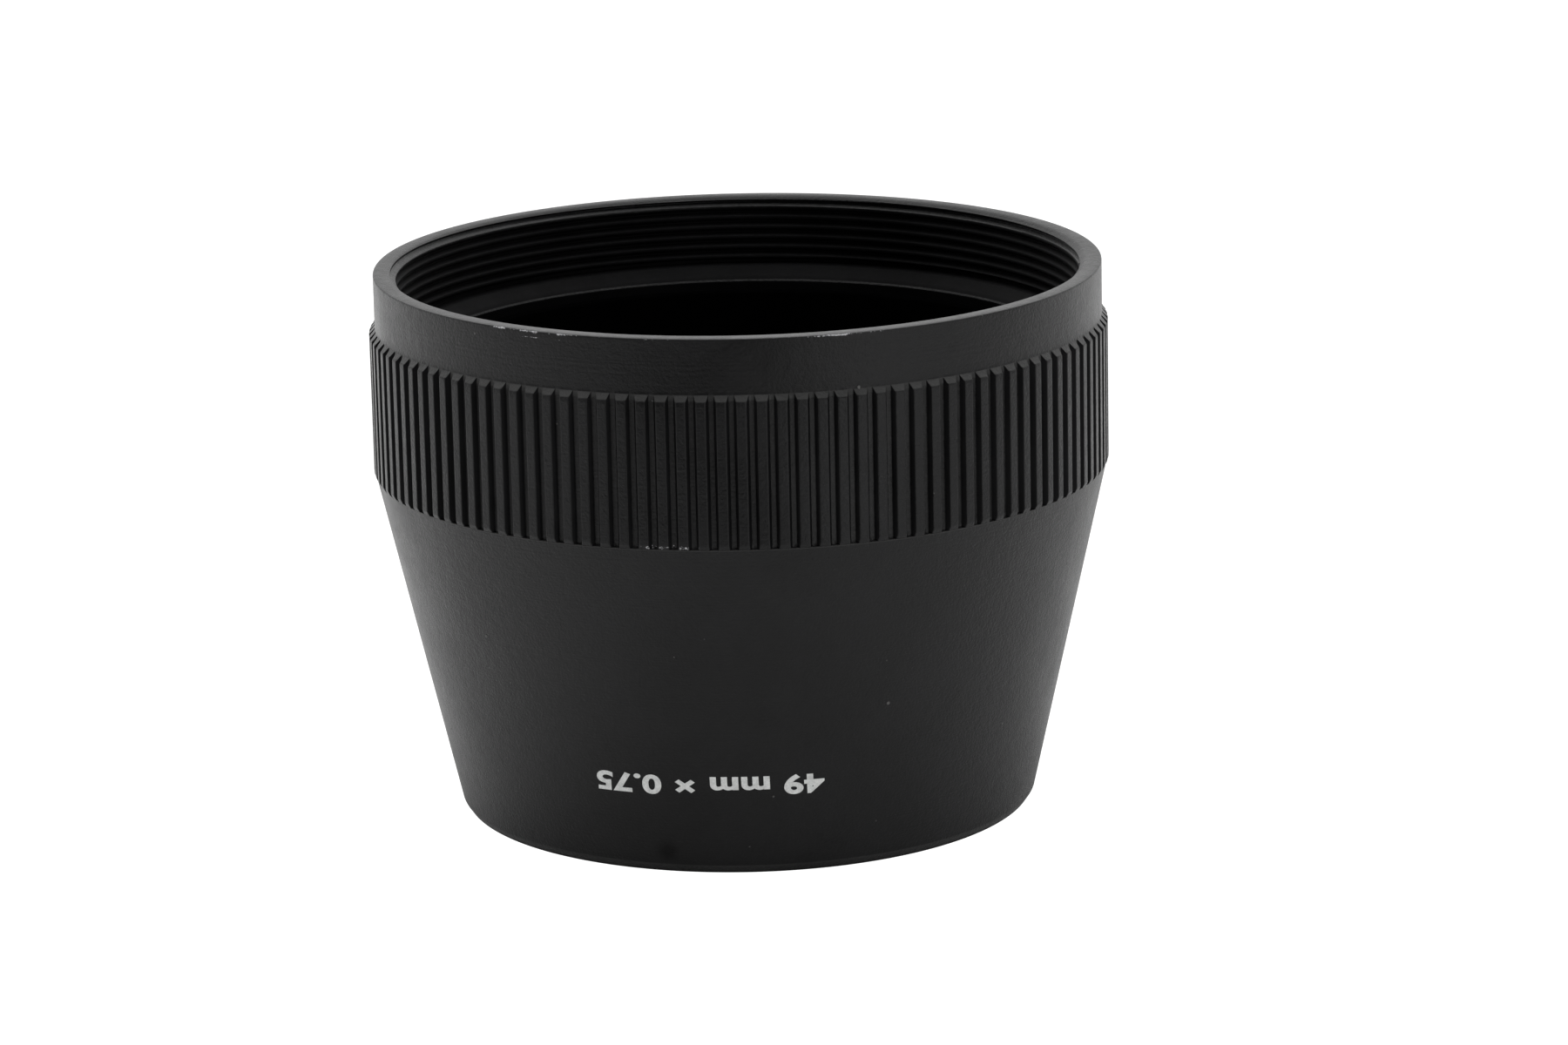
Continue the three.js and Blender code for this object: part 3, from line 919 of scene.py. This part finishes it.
def build_snap_wire(material):
    """Open ring: the wire's section carried round all but a nine degree gap, with both ends closed by a
    flat face."""
    profile = outline(WIRE_CORNERS)
    stations = 180
    points = turned(profile, stations, math.pi / 2, TAU - WIRE_GAP)
    faces = grid_faces(len(profile), stations, True, False)
    rim = np.arange(len(profile)) * stations
    caps = np.stack([rim[::-1], rim + stations - 1])
    wire = mesh_object(
        "snap_wire_split", points.reshape(-1, 3), [faces, caps], "hood", "snap_wire"
    )
    wire.data.materials.append(material)


def build_wave_spring(material):
    """Flat ring with six waves: height = section height + wave x cos(6 x angle)."""
    profile = outline(SPRING_CORNERS)
    stations = 240
    points = turned(profile, stations)
    points[:, :, 2] += SPRING_LIFT * np.cos(SPRING_WAVES * np.arange(stations) * TAU / stations)
    faces = grid_faces(len(profile), stations, True, True)
    spring = mesh_object(
        "wave_spring_sprung", points.reshape(-1, 3), [faces], "hood", "wave_spring"
    )
    spring.data.materials.append(material)


def build_size_mark(mark, material):
    """Printed size mark on the shell. Lettering is laid flat, then each point (u, v) goes to the cone:
    angle = middle - u / radius, distance down the slope = v, so that it reads with the narrow end up."""
    curve = bpy.data.curves.new("size_mark_text", "FONT")
    curve.body = mark.words
    curve.size = 1.0
    curve.offset = mark.boldness
    curve.align_x, curve.align_y = "CENTER", "CENTER"
    curve.resolution_u = 6
    curve.space_word = mark.word_gap
    curve.space_character = mark.letter_gap
    text = bpy.data.objects.new("size_mark_text", curve)
    bpy.context.scene.collection.objects.link(text)
    bpy.context.view_layer.update()
    mesh = bpy.data.meshes.new_from_object(text.evaluated_get(bpy.context.evaluated_depsgraph_get()))
    bpy.data.objects.remove(text)
    flat = np.empty(len(mesh.vertices) * 3, np.float32)
    mesh.vertices.foreach_get("co", flat)
    flat = flat.reshape(-1, 3)[:, :2].astype(float)
    low, high = flat.min(0), flat.max(0)
    flat = (flat - (low + high) / 2) * (
        mark.length / (high[0] - low[0]), mark.cap_height / (high[1] - low[1])
    )
    (r0, z0), (r1, z1) = CONE_LOW, CONE_HIGH
    slope = math.atan2(r1 - r0, z1 - z0)
    z = mark.height - flat[:, 1] * math.cos(slope)
    r = r0 + (z - z0) * (r1 - r0) / (z1 - z0)
    a = -math.pi / 2 + mark.turn - flat[:, 0] / r
    lift = mark.thickness
    r, z = r + lift * math.cos(slope), z - lift * math.sin(slope)
    mesh.vertices.foreach_set(
        "co", np.stack([r * np.cos(a), r * np.sin(a), z], -1).astype(np.float32).ravel()
    )
    mesh.name = "size_mark"
    mesh.update()
    shape = bmesh.new()
    shape.from_mesh(mesh)
    bmesh.ops.remove_doubles(shape, verts=shape.verts, dist=0.0005 * MM)
    bmesh.ops.triangulate(shape, faces=shape.faces)
    shape.to_mesh(mesh)
    shape.free()
    printed = bpy.data.objects.new("size_mark", mesh)
    bpy.context.scene.collection.objects.link(printed)
    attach(printed, "hood")
    mesh.materials.clear()
    mesh.materials.append(material)


# Studio ----------------------------------------------------------------------------------------

CAMERA_PLACE = Vector((0.1118, -15.021, 4.546))  # in band radii from the foot's centre
CAMERA_RIGHT = Vector((0.99978, -0.00519, -0.02056))
CAMERA_UP = Vector((0.0212, 0.24474, 0.96936))
CAMERA_LENS = 130.0


def build_camera():
    """Long-lens camera a little above the rim, turned by its own right and up directions."""
    data = bpy.data.cameras.new("camera")
    data.sensor_width = 36.0
    data.lens = CAMERA_LENS
    data.clip_start, data.clip_end = 0.01, 20.0
    camera = bpy.data.objects.new("camera", data)
    bpy.context.scene.collection.objects.link(camera)
    right = CAMERA_RIGHT.normalized()
    back = right.cross(CAMERA_UP).normalized()
    up = back.cross(right)
    turn = Matrix((right, up, back)).transposed().to_4x4()
    camera.matrix_world = Matrix.Translation(CAMERA_PLACE * BAND_R) @ turn
    bpy.context.scene.camera = camera


def add_panel_light(name, place, target, width, height, power):
    """Soft rectangular light that faces a target."""
    data = bpy.data.lights.new(name, "AREA")
    data.shape = "RECTANGLE"
    data.size, data.size_y = width, height
    data.energy = power
    light = bpy.data.objects.new(name, data)
    bpy.context.scene.collection.objects.link(light)
    place, target = Vector(place), Vector(target)
    light.matrix_world = Matrix.Translation(place) @ (
        target - place
    ).to_track_quat("-Z", "Y").to_matrix().to_4x4()


def stage_grid(name, half, steps, height):
    """Flat square grid round the Z axis."""
    line = np.linspace(-half, half, steps)
    x, y = np.meshgrid(line, line)
    points = np.stack([x, y, np.full_like(x, height)], -1).reshape(-1, 3)
    mesh = bpy.data.meshes.new(name)
    mesh.from_pydata(points.tolist(), [], grid_faces(steps, steps, False, False)[:, ::-1].tolist())
    sheet = bpy.data.objects.new(name, mesh)
    bpy.context.scene.collection.objects.link(sheet)
    return sheet


def build_floor(colour):
    """Plain pale floor, lit from inside like a light table so that no shadow greys it, and a duller sheet
    on top of it that only reflections and bounced light see. The sheet is painted light: it glows behind the
    hood and to its left and is darker in front, which sets how bright the hood's reflections of it are."""
    floor = stage_grid("studio_floor", 3.0, 13, CAD_BOX[0].z - 0.2 * MM)
    material, n, shader, place = start_material("lit floor")
    grain = n.noise(place, 900.0, 3.0, 0.6)
    tone = tuple(c * 0.99 for c in colour)
    n.tree.links.new(n.mix(grain, (*tone, 1.0), (*colour, 1.0)), shader.inputs["Emission Color"])
    shader.inputs["Emission Strength"].default_value = 1.15
    shader.inputs["Base Color"].default_value = (0.02, 0.02, 0.02, 1.0)
    shader.inputs["Specular IOR Level"].default_value = 0.0
    floor.data.materials.append(material)
    floor.visible_glossy = floor.visible_diffuse = floor.visible_shadow = False
    sheet = stage_grid("bounce_sheet", 3.0, 13, CAD_BOX[0].z)
    material, n, shader, place = start_material("pale sheet")
    across, along = n.add("ShaderNodeSeparateXYZ", inputs={"Vector": place}).outputs[:2]
    grain = n.noise(place, 900.0, 3.0, 0.6)
    glow = n.math("ADD", n.ramp(along, 0.03, 0.13, 0.0, 0.34), n.ramp(across, -0.012, -0.035, 0.0, 0.25))
    n.tree.links.new(n.mix(glow, (0.0, 0.0, 0.0, 1.0), (1.0, 1.0, 1.0, 1.0)), shader.inputs["Emission Color"])
    shader.inputs["Emission Strength"].default_value = 1.0
    tone = n.mix(n.ramp(along, -0.05, 0.05), (0.76, 0.76, 0.76, 1.0), (0.92, 0.92, 0.92, 1.0))
    n.tree.links.new(
        n.mix(n.math("MULTIPLY", grain, 0.05), tone, (1.0, 1.0, 1.0, 1.0)), shader.inputs["Base Color"]
    )
    shader.inputs["Roughness"].default_value = 0.85
    shader.inputs["Specular IOR Level"].default_value = 0.2
    sheet.data.materials.append(material)
    sheet.visible_camera = False


def build_world():
    """Surroundings that are pale at the back and the sides and dark on the camera's side: strength runs
    with the direction's Y from 0.1 at the front to 1.3 near the back, and up to 1.55 right behind."""
    world = bpy.data.worlds.new("studio")
    world.use_nodes = True
    bpy.context.scene.world = world
    n = Nodes(world.node_tree)
    direction = n.add("ShaderNodeTexCoord").outputs["Generated"]
    along = n.add("ShaderNodeSeparateXYZ", inputs={"Vector": direction}).outputs[1]
    strength = n.math("ADD", n.ramp(along, -0.7, 0.9, 0.1, 1.3), n.ramp(along, 0.55, 1.0, 0.0, 0.25))
    air = n.add("ShaderNodeBackground", inputs={"Color": (1.0, 1.0, 1.0, 1.0), "Strength": strength})
    n.add("ShaderNodeOutputWorld", inputs={"Surface": air.outputs[0]})


def build_flag():
    """Black card in front of the hood, seen only in reflections, that keeps the front of the rim dark."""
    width, height = 0.086, 0.16
    x, z = np.meshgrid([-width / 2, width / 2], [0.0, height])
    points = np.stack([x - 0.012, np.full_like(x, -0.105), z], -1).reshape(-1, 3)
    mesh = bpy.data.meshes.new("black_flag")
    mesh.from_pydata(points.tolist(), [], grid_faces(2, 2, False, False).tolist())
    flag = bpy.data.objects.new("black_flag", mesh)
    bpy.context.scene.collection.objects.link(flag)
    material, n, shader, place = start_material("black card")
    fibre = n.noise(place, 2500.0, 3.0, 0.6)
    n.tree.links.new(
        n.mix(fibre, (0.004, 0.004, 0.004, 1.0), (0.01, 0.01, 0.01, 1.0)), shader.inputs["Base Color"]
    )
    shader.inputs["Roughness"].default_value = 1.0
    shader.inputs["Specular IOR Level"].default_value = 0.0
    mesh.materials.append(material)
    flag.visible_camera = flag.visible_diffuse = flag.visible_shadow = False


# Operators -------------------------------------------------------------------------------------


class HOOD_OT_stage(bpy.types.Operator):
    """Makes the camera, the pale floor, the surroundings and the soft lights"""

    bl_idname = "hood.stage"
    bl_label = "Stage"

    def execute(self, context):
        build_camera()
        build_world()
        build_floor(context.scene.hood_finish.floor)
        build_flag()
        add_panel_light("top_light", (0.0, 0.1, 1.1), (0.0, 0.0, 0.0), width=2.4, height=1.8, power=26.0)
        add_panel_light(
            "key_light", (0.385, -0.53, 0.12), (0.0, 0.0, 0.03), width=0.08, height=0.16, power=0.9
        )
        context.scene.view_settings.view_transform = "Standard"
        return {"FINISHED"}


class HOOD_OT_mount_ring(bpy.types.Operator):
    """Builds the knurled mount ring with its lens thread"""

    bl_idname = "hood.mount_ring"
    bl_label = "Mount ring"

    def execute(self, context):
        finish = context.scene.hood_finish
        paint = paint_material("ring paint", finish, 0.06)
        # Duller, darker copies of the paint that put painted shade in the thread, on the lip and on the ribs'
        # sides.
        thread_shade_paint = shaded_paint_material("shaded thread paint", finish, 0.06)
        lip_shade_paint = shaded_paint_material("shaded lip paint", finish, 0.0)
        build_mount_ring(context.scene.hood_sizes, paint, thread_shade_paint, lip_shade_paint)
        return {"FINISHED"}


class HOOD_OT_shell(bpy.types.Operator):
    """Builds the conical shell and its neck"""

    bl_idname = "hood.shell"
    bl_label = "Shell"

    def execute(self, context):
        paint = paint_material("shell paint", context.scene.hood_finish, 0.15, SHELL_DARK_SPOTS, SHELL_PAINTED_HIGHLIGHT)
        shell = turned_piece(
            "hood_cone_shell", outline(SHELL_CORNERS, 4), 320, "hood", "hood_cone"
        )
        shell.data.materials.append(paint)
        return {"FINISHED"}


class HOOD_OT_size_mark(bpy.types.Operator):
    """Prints the generic size mark on the shell"""

    bl_idname = "hood.size_mark"
    bl_label = "Size mark"

    def execute(self, context):
        build_size_mark(
            context.scene.hood_mark, print_material("print ink", context.scene.hood_finish.print_ink)
        )
        return {"FINISHED"}


class HOOD_OT_lining(bpy.types.Operator):
    """Builds the flocked lining and the felt in the seam"""

    bl_idname = "hood.lining"
    bl_label = "Lining and felt"

    def execute(self, context):
        liner = turned_piece(
            "flock_liner_sleeve", outline(LINER_CORNERS), 256, "hood", "flock_liner"
        )
        liner.data.materials.append(pile_material("flock", (0.0009, 0.0009, 0.001), 14000.0, 0.05 * MM, 0.0))
        felt = turned_piece("drag_felt_ring", outline(FELT_CORNERS), 256, "hood", "drag_felt")
        felt.data.materials.append(pile_material("felt", (0.008, 0.008, 0.008), 9000.0, 0.04 * MM, 0.1))
        return {"FINISHED"}


class HOOD_OT_small_rings(bpy.types.Operator):
    """Builds the front ring, snap wire, wave spring and slip washer"""

    bl_idname = "hood.small_rings"
    bl_label = "Small rings"

    def execute(self, context):
        build_front_ring(turned_metal_material("black anodised", (0.012, 0.012, 0.013), 0.4, 0.0))
        build_snap_wire(turned_metal_material("drawn steel", (0.55, 0.56, 0.58), 0.28))
        build_wave_spring(turned_metal_material("rolled steel", (0.5, 0.51, 0.53), 0.34))
        washer = turned_piece(
            "slip_washer_flat", outline(WASHER_CORNERS), 256, "hood", "slip_washer"
        )
        washer.data.materials.append(turned_metal_material("half-hard brass", (0.62, 0.47, 0.22), 0.36))
        return {"FINISHED"}


class HOOD_PT_panel(bpy.types.Panel):
    """Sizes, finishes and build steps of the lens hood"""

    bl_idname = "HOOD_PT_panel"
    bl_label = "Lens hood"
    bl_space_type = "VIEW_3D"
    bl_region_type = "UI"
    bl_category = "Lens hood"

    def draw(self, context):
        for group in (context.scene.hood_sizes, context.scene.hood_mark, context.scene.hood_finish):
            box = self.layout.box()
            for name in group.bl_rna.properties.keys():
                if name not in ("name", "rna_type"):
                    box.prop(group, name)
        for step in STEPS:
            self.layout.operator(step.bl_idname)


STEPS = (
    HOOD_OT_stage, HOOD_OT_mount_ring, HOOD_OT_shell, HOOD_OT_size_mark, HOOD_OT_lining, HOOD_OT_small_rings
)
GROUPS = {"hood_sizes": HoodSizes, "hood_mark": SizeMark, "hood_finish": HoodFinish}


def register():
    for group in GROUPS.values():
        bpy.utils.register_class(group)
    for name, group in GROUPS.items():
        setattr(bpy.types.Scene, name, bpy.props.PointerProperty(type=group))
    for cls in (*STEPS, HOOD_PT_panel):
        bpy.utils.register_class(cls)


def unregister():
    for cls in (HOOD_PT_panel, *reversed(STEPS)):
        bpy.utils.unregister_class(cls)
    for name in GROUPS:
        delattr(bpy.types.Scene, name)
    for group in reversed(list(GROUPS.values())):
        bpy.utils.unregister_class(group)


def main():
    register()
    bpy.ops.hood.stage()
    bpy.ops.hood.mount_ring()
    bpy.ops.hood.shell()
    bpy.ops.hood.size_mark()
    bpy.ops.hood.lining()
    bpy.ops.hood.small_rings()


if __name__ == "__main__":
    main()
